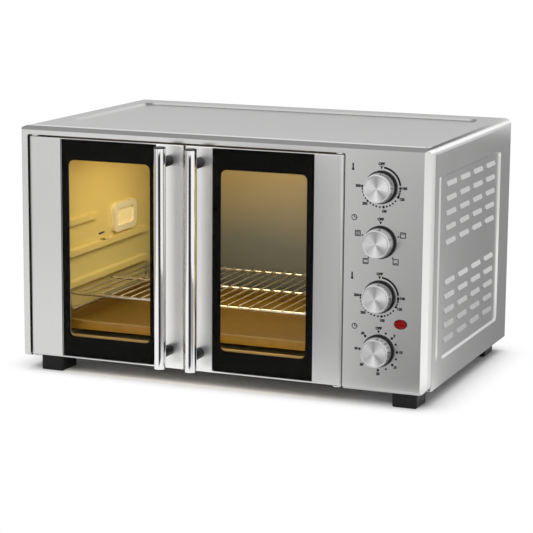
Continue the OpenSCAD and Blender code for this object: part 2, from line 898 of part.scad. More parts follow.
module knob_face(index) color("whitesmoke") at_knob(index)
    rod_y(knob_d - 4 * knob_edge - 2 * run, -knob_out, -knob_out + face_t);

module shaft(index) color("silver") at_knob(index) rod_y(shaft_d, -knob_out + knob_cap, shaft_in);

// Spit drive on the right wall
socket_d = 16;
socket_in = 10;

module spit_motor() color("dimgray") from_corner() translate([cav_r + sheet, spit_y, spit_z]) {
    motor_w = 52;
    motor_h = 44;
    motor_r = 5;
    depth = 28;
    difference() {
        span_x(0, depth) translate([-motor_w / 2, -motor_h / 2]) soft_rect(motor_w, motor_h, motor_r);
        rod_x(socket_d + 2 * run, -cut, socket_in + loose);
    }
}

module spit_socket() color("silver") from_corner() translate([cav_r + sheet, spit_y, spit_z]) {
    reach = 10;
    hole_w = 8;
    hole_l = 18;
    difference() {
        rod_x(socket_d, -reach, socket_in);
        translate([-reach - cut, -hole_w / 2, -hole_w / 2]) cube([hole_l, hole_w, hole_w]);
    }
}

// Rack and tray

// Straight wire between two points that differ along one axis
module wire_x(d, x0, x1, y, z) translate([0, y, z]) rod_x(d, x0, x1);
module wire_y(d, x, y0, y1, z) translate([x, 0, z]) rod_y(d, y0, y1);

// Loop leg of the rack at one side: a foot wire that rises to the grid at both ends
module rack_leg(x) {
    bend = 10;
    d = frame_wire;
    y0 = rack_front + bend;
    y1 = rack_back - bend;
    wire_y(d, x, y0, y1, rack_foot_z);
    for (end = [[y0, 1], [y1, -1]]) {
        translate([x, end[0], rack_foot_z + bend]) rotate([0, 90, 0])
            rotate_extrude_quarter(bend, d, end[1]);
        translate([x, end[0] - end[1] * bend, rack_foot_z + bend])
            cylinder(d = d, h = rack_z - rack_foot_z - bend);
    }
}

// Quarter bend of a wire in the plane across its axis, towards -Y or +Y
module rotate_extrude_quarter(bend, d, way) {
    rotate([0, 0, way > 0 ? -90 : 0]) rotate_extrude(angle = 90) translate([bend, 0]) circle(d = d);
}

module wire_rack() color("whitesmoke") from_corner() {
    d = frame_wire;
    from_wall = 5;
    x0 = cav_l + from_wall;
    x1 = cav_r - from_wall;
    sink = grid_wire / 3;
    grid_z = rack_z + d / 2 + grid_wire / 2 - sink;
    step = (x1 - x0) / (grid_count + 1);
    rack_leg(x0);
    rack_leg(x1);
    for (y = [rack_front, (rack_front + rack_back) / 2, rack_back]) wire_x(d, x0, x1, y, rack_z);
    for (x = [x0, x1], y = [rack_front, rack_back]) translate([x, y, rack_z]) sphere(d = d);
    for (i = [1:grid_count])
        wire_y(grid_wire, x0 + i * step, rack_front - sink, rack_back + sink, grid_z);
}

module baking_tray() color("sienna") from_corner() {
    from_wall = 0.6;
    from_rail = 2;
    x0 = cav_l + from_wall;
    w = cav_r - cav_l - 2 * from_wall;
    l = rack_back - tray_front;
    basin_x = rail_reach + from_rail;
    rim_r = 6;
    r = 14;
    translate([x0, tray_front, rim_z]) difference() {
        union() {
            linear_extrude(rim_t) soft_rect(w, l, rim_r);
            translate([basin_x, tray_rim_w, -tray_depth])
                linear_extrude(tray_depth) soft_rect(w - 2 * basin_x, l - 2 * tray_rim_w, r);
        }
        translate([basin_x + sheet, tray_rim_w + sheet, -tray_depth + sheet])
            linear_extrude(tray_depth + rim_t)
                soft_rect(w - 2 * (basin_x + sheet), l - 2 * (tray_rim_w + sheet), r - sheet);
    }
}

// Doors, drawn as the left one from its outer lower front corner

module at_left_door() from_corner() translate([open_l + door_gap, 0, door_foot]) children();
module at_right_door() from_corner()
    translate([open_r - door_gap, 0, door_foot]) mirror([1, 0, 0]) children();

// Hinge side of the glass in a door of width w
function glass_x(w) = w - free_strip - glass_w;

// Window outline in a door of width w, grown by grow
module window(w, grow) translate([glass_x(w) + border_side - grow, window_z - grow])
    soft_rect(window_w + 2 * grow, window_h + 2 * grow, window_r + grow);

// Block of a door, set in by inset, with round folds and hems at the front and an open back
module door_block(w, inset, y1) {
    deep = 4 * door_t;
    intersection() {
        span_z(inset, door_h - inset) intersection() {
            translate([inset, inset]) soft_rect(w + deep, deep, door_fold_r - inset);
            translate([-deep, inset]) soft_rect(w + deep - inset, deep, hem_r - inset);
            square([w, y1]);
        }
        span_x(0, w) translate([inset, inset]) soft_rect(deep, door_h - 2 * inset, hem_r - inset);
    }
}

module door_pan(w) difference() {
    bed_x = glass_x(w) - loose;
    bed_w = glass_w + 2 * loose;
    bed_z = glass_foot - loose;
    union() {
        difference() {
            door_block(w, 0, door_t);
            door_block(w, sheet, door_t + cut);
        }
        intersection() {
            door_block(w, 0, door_t);
            translate([bed_x - sheet, 0, 0]) cube([bed_w + 2 * sheet, glass_t + sheet, door_h]);
        }
    }
    translate([bed_x, -cut, bed_z]) cube([bed_w, glass_t + cut, glass_h + 2 * loose]);
    span_y(0, door_t) window(w, window_lap);
    translate([pin_inset, pin_back, -cut]) cylinder(d = pin_d + 2 * run, h = sheet + 2 * cut);
    translate([pin_inset, pin_back, door_h - sheet - cut])
        cylinder(d = pin_d + 2 * run, h = sheet + 2 * cut);
}

module door_glass(w) translate([glass_x(w), 0, glass_foot])
    span_y(0, glass_t) soft_rect(glass_w, glass_h, glass_r);

module door_liner(w) {
    grow = window_lap + 2;
    difference() {
        span_y(door_t - sheet, door_t) translate([sheet, sheet])
            square([w - 2 * sheet, door_h - 2 * sheet]);
        span_y(0, door_t + cut) window(w, grow);
    }
    difference() {
        span_y(glass_t + sheet, door_t) window(w, grow + sheet);
        span_y(0, door_t + cut) window(w, grow);
    }
}

// Places children on the handle's axis at its lower end, on a door of width w
module at_bar(w) translate([w - bar_inset, -bar_out, bar_foot - door_foot]) children();

module handle_bar(w) at_bar(w) translate([0, 0, cap_t]) difference() {
    cylinder(d = bar_d, h = bar_l - 2 * cap_t);
    translate([0, 0, -cut]) cylinder(d = bar_d - 2 * bar_wall, h = bar_l);
}

module handle_posts(w) at_bar(w) difference() {
    for (z = [post_inset, bar_l - post_inset]) translate([0, 0, z]) rod_y(post_d, 0, bar_out);
    cylinder(d = bar_d + run, h = bar_l);
}

module handle_plug() {
    grip = 10;
    edge = 1;
    rotate_extrude() polygon([[0, 0], [bar_d / 2 - edge, 0], [bar_d / 2, edge], [bar_d / 2, cap_t],
        [bar_d / 2 - bar_wall - run, cap_t], [bar_d / 2 - bar_wall - run, grip], [0, grip]]);
}

module handle_plugs(w) at_bar(w) {
    handle_plug();
    translate([0, 0, bar_l]) mirror([0, 0, 1]) handle_plug();
}

// Hinge brackets: a plate above or below the door's corner with its pin, fixed to the mouth frame

module hinge_plate(z0, z1) span_z(z0, z1) {
    translate([pin_inset, pin_back]) circle(d = bracket_w);
    translate([pin_inset - bracket_w / 2, pin_back]) square([bracket_w, mouth_y - pin_back]);
}

module door_hinges() {
    top = door_h + bracket_gap;
    hinge_plate(-bracket_gap - bracket_t, -bracket_gap);
    translate([pin_inset, pin_back, -bracket_gap - bracket_t])
        cylinder(d = pin_d, h = bracket_gap + bracket_t + pin_grip);
    hinge_plate(top, top + bracket_t);
    translate([pin_inset, pin_back, door_h - pin_grip])
        cylinder(d = pin_d, h = pin_grip + bracket_gap + bracket_t);
}

module hinge_brackets() color("lightgray") {
    at_left_door() door_hinges();
    at_right_door() door_hinges();
}

module door_catch(w) {
    catch_w = 16;
    catch_h = 9;
    from_edge = 6;
    from_top = 1;
    translate([w - catch_w - from_edge, door_t + loose, door_h - catch_h - from_top])
        cube([catch_w, mouth_y - door_t - loose, catch_h]);
}

module door_catches() color("dimgray") {
    at_left_door() door_catch(left_w);
    at_right_door() door_catch(right_w);
}

outer_wrap();
front_fascia();
rear_panel();
base_plate();
mouth_frame();
cavity_left_wall();
cavity_right_wall();
cavity_roof();
cavity_back();
cavity_floor();
left_foot(foot_front);  // front_left_foot
right_foot(foot_front);  // front_right_foot
left_foot(body_d - foot_rear - foot_l);  // rear_left_foot
right_foot(body_d - foot_rear - foot_l);  // rear_right_foot
heater(rod_front, cav_t - rod_drop);  // upper_front_heater
heater(rod_rear, cav_t - rod_drop);  // upper_rear_heater
heater(rod_front, cav_b + rod_rise);  // lower_front_heater
heater(rod_rear, cav_b + rod_rise);  // lower_rear_heater
heater_bushes();
lamp_bezel();
lamp_cover();
lamp_housing();
lamp_bulb();
thermostat(0);  // upper_thermostat
function_switch();
thermostat(2);  // lower_thermostat
timer_unit();
indicator_lamp();
hinge_brackets();
door_catches();
casing_screws();
cord_gland();
spit_motor();
spit_socket();
wire_rack();
baking_tray();
color("lightgray") at_left_door() door_pan(left_w);  // left_door_pan
color("darkslategray") at_left_door() door_glass(left_w);  // left_door_glass
color("gray") at_left_door() door_liner(left_w);  // left_door_liner
color("white") at_left_door() handle_bar(left_w);  // left_handle_bar
color("black") at_left_door() handle_posts(left_w);  // left_handle_posts
color("black") at_left_door() handle_plugs(left_w);  // left_handle_plugs
color("lightgray") at_right_door() door_pan(right_w);  // right_door_pan
color("darkslategray") at_right_door() door_glass(right_w);  // right_door_glass
color("gray") at_right_door() door_liner(right_w);  // right_door_liner
color("white") at_right_door() handle_bar(right_w);  // right_handle_bar
color("black") at_right_door() handle_posts(right_w);  // right_handle_posts
color("black") at_right_door() handle_plugs(right_w);  // right_handle_plugs
knob(0);  // upper_heat_knob
knob(1);  // function_knob
knob(2);  // lower_heat_knob
knob(3);  // timer_knob
knob_face(0);  // upper_heat_face
knob_face(1);  // function_face
knob_face(2);  // lower_heat_face
knob_face(3);  // timer_face
shaft(0);  // upper_heat_shaft
shaft(1);  // function_shaft
shaft(2);  // lower_heat_shaft
shaft(3);  // timer_shaft
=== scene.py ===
# %% [markdown]
# A steel countertop oven with two side-hinged doors gets its looks here. The CAD
# model comes in first as a fixed frame. Its solids have the right size and place,
# so each step below gives one of them a finish, or adds a piece that is too fine
# for CAD.

# %% Load the frame
import math
import bmesh
import bpy
from mathutils import Matrix, Vector


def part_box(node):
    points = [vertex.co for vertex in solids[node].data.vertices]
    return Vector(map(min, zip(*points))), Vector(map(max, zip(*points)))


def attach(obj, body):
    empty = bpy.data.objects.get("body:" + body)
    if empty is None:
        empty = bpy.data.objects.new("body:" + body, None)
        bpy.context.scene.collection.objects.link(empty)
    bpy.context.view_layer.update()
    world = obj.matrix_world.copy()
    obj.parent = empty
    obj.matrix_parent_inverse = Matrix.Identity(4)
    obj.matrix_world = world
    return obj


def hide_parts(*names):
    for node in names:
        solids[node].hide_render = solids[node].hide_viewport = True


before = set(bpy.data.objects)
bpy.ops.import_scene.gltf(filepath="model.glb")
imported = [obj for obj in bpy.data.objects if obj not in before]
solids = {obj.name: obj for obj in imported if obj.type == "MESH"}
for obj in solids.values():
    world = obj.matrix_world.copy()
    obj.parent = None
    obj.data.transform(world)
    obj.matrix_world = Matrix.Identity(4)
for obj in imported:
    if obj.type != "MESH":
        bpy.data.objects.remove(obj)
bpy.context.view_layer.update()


def rounded(numbers, places=4):
    """Numbers that are short enough to print."""
    return tuple(round(v, places) for v in numbers)


# %% [markdown]
# A drawing of the oven counts millimetres from the lower left front corner of the
# casing, while Blender counts metres from the floor under its middle. One helper
# turns a drawing point into a place in the scene, and another reads where a solid
# lies on the drawing, so the rest can use drawing sizes. A third one adds an object.

# %% Measure from the casing's corner
MM = 0.001
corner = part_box("front_fascia")[0]


def spot(x, y, z):
    """A drawing point, in millimetres, as a place in the scene."""
    return corner + Vector((x, y, z)) * MM


def drawn(name):
    """The low and the high corner of a solid on the drawing, in millimetres."""
    return [(v - corner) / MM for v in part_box(name)]


def add_object(name, data):
    """A new object of the scene that shows a mesh, a lamp, a lens or a text."""
    obj = bpy.data.objects.new(name, data)
    bpy.context.scene.collection.objects.link(obj)
    return obj


print("casing corner at", rounded(corner))

# %% [markdown]
# The camera stands to the right of the oven and a little above it, far away, with a
# long lens. Its place and turn were worked out from the corners of the casing and the
# middles of the dials. A matrix of three turns sets it exactly, where aiming at a
# target would lose the slight roll.

# %% Set up the camera
CAMERA_AT = spot(1490.28, -2672.73, 723.07)
YAW, PITCH, ROLL = math.radians(-21.95), math.radians(10.81), math.radians(0.451)
LENS_MM, SENSOR_MM, FAR_END = 134.5, 36, 200

lens = bpy.data.cameras.new("product_lens")
lens.lens, lens.sensor_width, lens.clip_end = LENS_MM, SENSOR_MM, FAR_END
camera = add_object("product_camera", lens)
up_to_back = Matrix(((1, 0, 0), (0, 0, -1), (0, 1, 0)))
look = (Matrix.Rotation(ROLL, 3, "Z") @ Matrix.Rotation(PITCH, 3, "X") @ up_to_back
        @ Matrix.Rotation(YAW, 3, "Z"))
flip = Matrix.Diagonal((1, -1, -1))
camera.matrix_world = Matrix.Translation(CAMERA_AT) @ (look.transposed() @ flip).to_4x4()
bpy.context.scene.camera = camera
bpy.context.scene.view_settings.view_transform = "Standard"
print("camera at", rounded(camera.matrix_world.translation, 3))

# %% [markdown]
# Every finish is a node material. The first helpers make the material, with plain values
# on the shader's own sockets, and the nodes that work with numbers: sums, lengths and a
# noise that is stretched along one direction of the object.

# %% Helpers for nodes
NOISE_LOW, NOISE_HIGH = 0.3, 0.7


def finish(name, color, roughness, metallic=0.0, **sockets):
    """A material with its even values set on the shader's own sockets."""
    mat = bpy.data.materials.new(name)
    mat.use_nodes = True
    shader = mat.node_tree.nodes["Principled BSDF"]
    shader.inputs["Base Color"].default_value = (*color, 1)
    shader.inputs["Roughness"].default_value = roughness
    shader.inputs["Metallic"].default_value = metallic
    for socket, value in sockets.items():
        shader.inputs[socket.replace("_", " ")].default_value = value
    return mat


def put(mat, socket, value):
    """Links an output to a socket, or sets a plain value on it."""
    if isinstance(value, bpy.types.NodeSocket):
        mat.node_tree.links.new(value, socket)
    else:
        socket.default_value = value


def node(mat, kind, **inputs):
    """A new node of that kind with its sockets linked or set."""
    new = mat.node_tree.nodes.new("ShaderNode" + kind)
    for key, value in inputs.items():
        put(mat, new.inputs[key.replace("_", " ")], value)
    return new


def sums(mat, operation, *values):
    """A sum, a product or another operation on numbers and outputs."""
    new = node(mat, "Math")
    new.operation = operation
    for socket, value in zip(new.inputs, values):
        put(mat, socket, value)
    return new.outputs["Value"]


def length(mat, *steps):
    """The length of two steps at right angles."""
    squares = [sums(mat, "MULTIPLY", step, step) for step in steps]
    return sums(mat, "SQRT", sums(mat, "ADD", *squares))


def point(mat):
    """The shaded point, in the object's own metres."""
    return node(mat, "TexCoord").outputs["Object"]


def along(mat, axis):
    """How far along one axis of the object the shaded point lies."""
    return node(mat, "SeparateXYZ", Vector=point(mat)).outputs[axis]


def grain(mat, stretch, detail=3.0):
    """Noise with so many grains per metre, given as one number or along each axis."""
    scale = stretch if isinstance(stretch, tuple) else (stretch,) * 3
    scaled = node(mat, "Mapping", Vector=point(mat), Scale=scale).outputs["Vector"]
    return node(mat, "TexNoise", Vector=scaled, Scale=1.0, Detail=detail).outputs["Fac"]


def span(mat, value, low, high, start=NOISE_LOW, end=NOISE_HIGH):
    """Maps a value from its usual range to a range of values."""
    return node(mat, "MapRange", Value=value, From_Min=start, From_Max=end,
                To_Min=low, To_Max=high).outputs["Result"]


print("node helpers ready")

# %% [markdown]
# The next helpers spread such a value over a colour, a roughness or a bump, and put the
# finish on an object.

# %% Helpers for finishes


def grey(level):
    """A colour without a hue."""
    return level, level, level


def feed(mat, socket, output):
    """Leads an output to a socket of the shader."""
    put(mat, mat.node_tree.nodes["Principled BSDF"].inputs[socket], output)


def surface(mat, output):
    """Shows another shader on the surface of a material."""
    put(mat, mat.node_tree.nodes["Material Output"].inputs["Surface"], output)


def blend(mat, value, dark, light, start=NOISE_LOW, end=NOISE_HIGH):
    """A colour that runs between two tones as a value rises from start to end."""
    mix = node(mat, "Mix")
    mix.data_type = "RGBA"
    put(mat, mix.inputs["Factor"], span(mat, value, 0, 1, start, end))
    # The node's inputs 6 and 7 are its two colours, and its output 2 is their mix.
    for socket, tone in zip(mix.inputs[6:8], (dark, light)):
        put(mat, socket, tone if isinstance(tone, bpy.types.NodeSocket) else (*tone, 1))
    return mix.outputs[2]


def tint(mat, value, dark, light, start=NOISE_LOW, end=NOISE_HIGH):
    """Lets the finish run between two tones with a value."""
    feed(mat, "Base Color", blend(mat, value, dark, light, start, end))


def roughen(mat, value, low, high, start=NOISE_LOW, end=NOISE_HIGH):
    """Lets the roughness run between two levels with a value."""
    feed(mat, "Roughness", span(mat, value, low, high, start, end))


def relief(mat, value, depth_mm, strength=1.0):
    """Raises the surface by a noise, as a bump so many millimetres deep."""
    lift = node(mat, "Bump", Height=value, Strength=strength, Distance=depth_mm * MM)
    feed(mat, "Normal", lift.outputs["Normal"])


def wear(obj, mat):
    """Puts one finish on all of an object."""
    obj.data.materials.clear()
    obj.data.materials.append(mat)


print("finish helpers ready")

# %% [markdown]
# The studio is a wide white paper floor under a white world. Both show plain white to the
# camera, to reflections and through glass. For everything else the world is a dimmer
# light that grows from the horizon up. Near the oven the paper is left as paper, so that
# it keeps the shadow.

# %% Floor and world
REACH = 40
WORLD_LOW, WORLD_HIGH = 0.15, 0.6
SHADOW_IN, SHADOW_OUT = Vector((0.02, 0.05, 0)), Vector((0.02, 0.02, 0))
SHADOW_FADE = 0.075


def add_flat(name, corners):
    """A flat piece of the studio with those corners."""
    mesh = bpy.data.meshes.new(name)
    mesh.from_pydata(corners, [], [tuple(range(len(corners)))])
    obj = add_object(name, mesh)
    return obj


def looked_at(mat):
    """One for rays from the camera, from reflections and through glass, else zero."""
    path = node(mat, "LightPath")
    seen = sums(mat, "MAXIMUM", path.outputs["Is Camera Ray"], path.outputs["Is Glossy Ray"])
    return sums(mat, "MAXIMUM", seen, path.outputs["Is Transmission Ray"])


floor = add_flat("floor", [(x * REACH, y * REACH, 0)
                           for x, y in ((-1, -1), (1, -1), (1, 1), (-1, 1))])
paper = finish("studio_paper", grey(0.96), 0.9, Specular_IOR_Level=0.0)
tint(paper, grain(paper, 9), grey(0.955), grey(0.965))
wear(floor, paper)
beyond = []
for axis, low, high in zip("XY", corner + SHADOW_IN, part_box("outer_wrap")[1] - SHADOW_OUT):
    off = sums(paper, "SUBTRACT", along(paper, axis), (low + high) / 2)
    past = sums(paper, "SUBTRACT", sums(paper, "ABSOLUTE", off), (high - low) / 2)
    beyond.append(sums(paper, "MAXIMUM", past, 0.0))
away = node(paper, "MapRange", Value=length(paper, *beyond), From_Min=0.0, From_Max=SHADOW_FADE)
away.interpolation_type = "SMOOTHSTEP"
white = node(paper, "Emission", Color=(1, 1, 1, 1), Strength=1.0)
shown = sums(paper, "MULTIPLY", away.outputs["Result"], looked_at(paper))
lit = node(paper, "MixShader", Fac=shown)
put(paper, lit.inputs[1], paper.node_tree.nodes["Principled BSDF"].outputs[0])
put(paper, lit.inputs[2], white.outputs[0])
surface(paper, lit.outputs[0])

world = bpy.data.worlds.new("studio")
bpy.context.scene.world = world
world.use_nodes = True
backdrop = world.node_tree.nodes["Background"]
backdrop.inputs["Color"].default_value = (1, 1, 1, 1)
heading = node(world, "TexCoord").outputs["Generated"]
rise = node(world, "SeparateXYZ", Vector=heading).outputs["Z"]
lighting = span(world, rise, WORLD_LOW, WORLD_HIGH, 0, 1)
put(world, backdrop.inputs["Strength"], sums(world, "MAXIMUM", lighting, looked_at(world)))
print("floor", REACH * 2, "m wide, world level", WORLD_LOW, "to", WORLD_HIGH)

# %% [markdown]
# One wide sun from above does most of the shaping, so that the shadow stays close under the
# casing. A helper makes soft boxes for the places that need a lamp of their own.

# %% Lamps
SUN_LEVEL, SUN_WIDTH, SUN_WAY = 1.9, 70, Vector((0.0, -0.12, -1.0))


def aim(obj, way):
    """Turns a lamp so that it shines that way."""
    obj.rotation_euler = way.to_track_quat("-Z", "Y").to_euler()


def soft_box(name, place, target, width, height, power, color, spread):
    """A rectangular lamp at place that faces target and throws a cone so many degrees wide."""
    lamp = bpy.data.lights.new(name, "AREA")
    lamp.shape = "RECTANGLE"
    lamp.size, lamp.size_y = width, height
    lamp.energy = power
    lamp.color = color
    lamp.spread = math.radians(spread)
    obj = add_object(name, lamp)
    obj.location = place
    aim(obj, Vector(target) - Vector(place))
    obj.visible_camera = False
    obj.visible_transmission = False


sun = bpy.data.lights.new("wide_sun", "SUN")
sun.energy = SUN_LEVEL
sun.angle = math.radians(SUN_WIDTH)
sun_lamp = add_object("wide_sun", sun)
aim(sun_lamp, SUN_WAY)
sun_lamp.visible_glossy = False

# %% [markdown]
# Polished metal looks like metal only when it has tones to mirror. Sheets of card round
# the oven do that, and they show only in reflections. A black one stands close before the
# handles. Grey ones lie on the floor where the front and the sides look. Lighter and
# darker ones behind are for the top and its edges, and one hangs above for the upper
# bevel. White ones brighten the folded edges.

# %% Cards for reflections
LAID = 0.002
MIRROR = math.tan(math.radians(22))
SIDE_MIRROR = 1 / MIRROR


def card(name, corners, start, end=None, way=(1, 0, 0), edge=(0, 1)):
    """A flat card seen only in reflections; its tone may change along a direction."""
    obj = add_flat(name, corners)
    mat = finish(name, grey(start), 1.0, Specular_IOR_Level=0.0)
    reached = node(mat, "VectorMath")
    reached.operation = "DOT_PRODUCT"
    put(mat, reached.inputs[0], point(mat))
    put(mat, reached.inputs[1], way)
    last = start if end is None else end
    tone = blend(mat, reached.outputs["Value"], grey(start), grey(last), *edge)
    surface(mat, node(mat, "Emission", Color=tone).outputs[0])
    wear(obj, mat)
    obj.visible_camera = False
    obj.visible_diffuse = False
    obj.visible_transmission = False
    obj.visible_shadow = False


def upright(x0, x1, y, z0, z1):
    """The corners of a card that stands across the view."""
    return [(x0, y, z0), (x1, y, z0), (x1, y, z1), (x0, y, z1)]


def level(*corners, z=LAID):
    """The corners of a card that lies on the floor, or hangs at a height."""
    return [(x, y, z) for x, y in corners]


card("handle_card", upright(-0.08, 0.065, -0.40, 0, 0.338), 0.04)
card("front_card", level((-0.12, -0.3), (-0.12 - 5.7 * MIRROR, -6), (1.0 - 6 * MIRROR, -6),
                         (1.0 - 0.3 * MIRROR, -0.3)),
     1.0, 0.36, (1, 0.06 - MIRROR, 0), (0.18, 0.37))
card("side_card", level((-0.3, 0.3), (0.33, 0.3), (0.335, -0.1), (0.36, -0.05), (1.0, 1.55),
                        (3.6, 8.0), (-0.3, 8.0)),
     0.5, 0.34, (-SIDE_MIRROR, 1, 0), (-1.0, -0.58))
card("left_card", level((-0.5, 1.5), (-0.5, -0.12), (-0.7, -0.2), (-1.6, -2.4), (-4.0, -2.4),
                        (-4.0, 1.5)), 0.45)
card("back_card", upright(-1.4, 0.12, 1.2, 0, 0.72), 0.62)
card("edge_card", upright(0.12, 0.5, 1.19, 0.72, 1.4), 0.12)
card("hood_card", upright(0.4, 1.6, 1.2, 0.24, 0.42), 0.8)
card("upper_card", level((-2.5, 0.2), (1.0, 0.2), (1.0, 2.2), (-2.5, 2.2), z=2.0), 0.38)
card("glow_card", upright(0.52, 1.1, 1.18, 0.5, 0.95), 1.5)
card("bevel_card", level((0.45, -0.3), (2.8, 0.0), (2.8, 0.6), (0.45, -0.05)), 1.35)

# %% [markdown]
# The steel is satin: so finely brushed that the lines only show as a wide spread of each
# reflection across them, which the shader calls anisotropy. A fine stretched noise adds
# the lines themselves, and a wide one the slight clouding of rolled sheet. Beside the
# handles the doors are painted paler, a painted sheen that makes up for the bright
# reflection that the handles hide.

# %% Satin steel
HAIR_LINES = (1800.0, 1800.0, 14.0)
PAINTED_SHEEN_TONE, PAINTED_SHEEN_FROM, PAINTED_SHEEN_TO = (0.97, 0.97, 0.965), 0.05, 0.08


def brushed(name, tone, spread_along, rough, spread):
    """Steel sheet with upright hair lines and a shine spread along an axis."""
    mat = finish(name, tone, rough, 1.0, Anisotropic=spread)
    lines = grain(mat, HAIR_LINES, 2.0)
    tint(mat, lines, [c * 0.975 for c in tone], [c * 1.02 for c in tone])
    roughen(mat, grain(mat, 4.0, 2.0), rough - 0.04, rough + 0.05, 0, 1)
    relief(mat, lines, 0.004, 0.15)
    feed(mat, "Tangent", node(mat, "CombineXYZ", **{spread_along: 1.0}).outputs["Vector"])
    return mat


front_steel = brushed("front_steel", (0.67, 0.67, 0.665), "X", 0.22, 0.6)
door_steel = brushed("door_steel", (0.69, 0.69, 0.685), "X", 0.36, 0.6)
casing_steel = brushed("casing_steel", (0.62, 0.62, 0.615), "Y", 0.2, 0.3)

# Painted sheen: within a few centimetres of the gap between the doors, the steel is painted almost
# white.
gap_x = (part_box("left_door_pan")[1].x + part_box("right_door_pan")[0].x) / 2
beside = sums(door_steel, "SUBTRACT", along(door_steel, "X"), gap_x)
door_color = door_steel.node_tree.nodes["Principled BSDF"].inputs["Base Color"]
plain = door_color.links[0].from_socket
tint(door_steel, sums(door_steel, "ABSOLUTE", beside), PAINTED_SHEEN_TONE, plain, PAINTED_SHEEN_FROM, PAINTED_SHEEN_TO)
print("steel finishes ready, doors meet at x =", round(gap_x, 4))

# %% [markdown]
# The back and the base are zinc-coated sheet, duller than the front, with the blotchy
# crystals of a zinc bath. A cell noise makes them.

# %% Zinc-coated sheet
zinc = finish("zinc_sheet", (0.53, 0.54, 0.55), 0.42, 1.0)
cells = node(zinc, "TexVoronoi", Vector=point(zinc), Scale=130.0)
tint(zinc, cells.outputs["Color"], (0.5, 0.51, 0.52), (0.56, 0.57, 0.58), 0, 1)
roughen(zinc, grain(zinc, 60), 0.36, 0.5)
relief(zinc, grain(zinc, 700), 0.02, 0.2)
print("zinc ready")

# %% [markdown]
# The cavity is lined with sheet of a warm straw colour. Its tone runs with height: it is
# painted deeper gold and lighter under the roof and darker and less golden towards the
# floor, a painted glow of the roof lamp and painted shade below, and a noise breaks it up.

# %% Cavity lining
BELOW_FLOOR, ABOVE_ROOF, CLOUD = 0.01, 0.06, 0.05
cavity_floor_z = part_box("cavity_floor")[0].z
cavity_roof_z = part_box("cavity_roof")[1].z


def toned(name, low_tone, high_tone, rise=cavity_floor_z - BELOW_FLOOR, metallic=0.2):
    """Lining sheet that runs from one tone, up to the height of rise, to another at the roof:
    painted glow and shade by height.
    """
    mat = finish(name, low_tone, 0.35, metallic)
    clouded = sums(mat, "MULTIPLY_ADD", grain(mat, 5, 1.0), CLOUD, along(mat, "Z"))
    tint(mat, clouded, low_tone, high_tone, rise, cavity_roof_z + ABOVE_ROOF)
    roughen(mat, grain(mat, 12, 1.0), 0.29, 0.41, 0, 1)
    relief(mat, grain(mat, 700), 0.004, 0.1)
    return mat


# Painted glow and shade: each lining is painted lighter towards the roof lamp and darker towards
# the floor.
lining = toned("cavity_lining", (0.44, 0.42, 0.2), (0.68, 0.51, 0.15))
# Painted shade: the back wall is a darker copy of the lining, nearly black up to 0.18 m and gold
# towards the roof.
back_lining_painted_shade = toned("cavity_back_lining", (0.1, 0.108, 0.1), (0.36, 0.25, 0.075), 0.18)
liner_steel = toned("door_liner_steel", (0.58, 0.55, 0.49), (0.62, 0.59, 0.53), metallic=0.85)
# Painted glow: the mouth frame's steel is painted gold, the warm cavity light laid into its
# colour.
sill_steel_painted_glow = toned("sill_steel_painted_glow", (0.62, 0.45, 0.2), (0.66, 0.5, 0.24), metallic=0.6)
print("lining ready, from z =", round(cavity_floor_z, 3), "to", round(cavity_roof_z, 3))

# %% [markdown]
# The tray is brown enamel with pin-prick pores, and the heater rods are scaled steel.

# %% Tray enamel and heater steel
enamel = finish("tray_enamel", (0.12, 0.066, 0.004), 0.36, Specular_IOR_Level=0.25)
tint(enamel, grain(enamel, 90, 2.0), (0.105, 0.058, 0.003), (0.135, 0.074, 0.006))
roughen(enamel, grain(enamel, 12, 1.0), 0.3, 0.42, 0, 1)
relief(enamel, grain(enamel, 700), 0.006, 0.15)
heater_steel = finish("heater_steel", (0.1, 0.09, 0.085), 0.55, 0.6)
scale = grain(heater_steel, (150, 300, 300), 4.0)
tint(heater_steel, scale, (0.07, 0.06, 0.055), (0.16, 0.14, 0.12))
relief(heater_steel, grain(heater_steel, 600), 0.05, 0.3)
print("enamel and heater steel ready")

# %% [markdown]
# The handle tubes are mirror chrome with faint polishing lines, and the rack is thin
# chromed wire that the oven has yellowed a little.

# %% Chrome
chrome = finish("handle_chrome", grey(0.88), 0.07, 1.0)
tint(chrome, grain(chrome, (700, 700, 6)), grey(0.86), grey(0.9))
roughen(chrome, grain(chrome, (900, 900, 8)), 0.05, 0.1)
wire_chrome = finish("rack_chrome", (0.6, 0.57, 0.49), 0.34, 1.0)
tint(wire_chrome, grain(wire_chrome, (120, 40, 120)), (0.54, 0.51, 0.42), (0.66, 0.63, 0.56))
roughen(wire_chrome, grain(wire_chrome, (300, 60, 300)), 0.29, 0.4)
print("chrome ready")

# %% [markdown]
# Feet, handle posts, end plugs, door catches and the cord gland are moulded black
# plastic. Its skin has the fine grain of an eroded mould.

# %% Black plastic
black_plastic = finish("black_plastic", grey(0.009), 0.42, Specular_IOR_Level=0.22)
pores = grain(black_plastic, 1500)
roughen(black_plastic, pores, 0.36, 0.5)
tint(black_plastic, grain(black_plastic, 80), grey(0.007), (0.012, 0.012, 0.0115))
relief(black_plastic, pores, 0.03, 0.3)
print("black plastic ready")

# %% [markdown]
# Small parts that show only with the doors open, or not at all, still get true finishes:
# white ceramic bushes, cream control housings, a dark motor and turned steel shafts.

# %% Inner parts


def speckled(name, tone, rough, metallic=0.0, size=400.0, depth=0.03):
    """A plain finish with a fine speckle in colour, roughness and relief."""
    mat = finish(name, tone, rough, metallic)
    dots = grain(mat, size)
    tint(mat, dots, [c * 0.9 for c in tone], [min(1, c * 1.08) for c in tone])
    roughen(mat, dots, rough - 0.05, rough + 0.06)
    relief(mat, dots, depth, 0.25)
    return mat


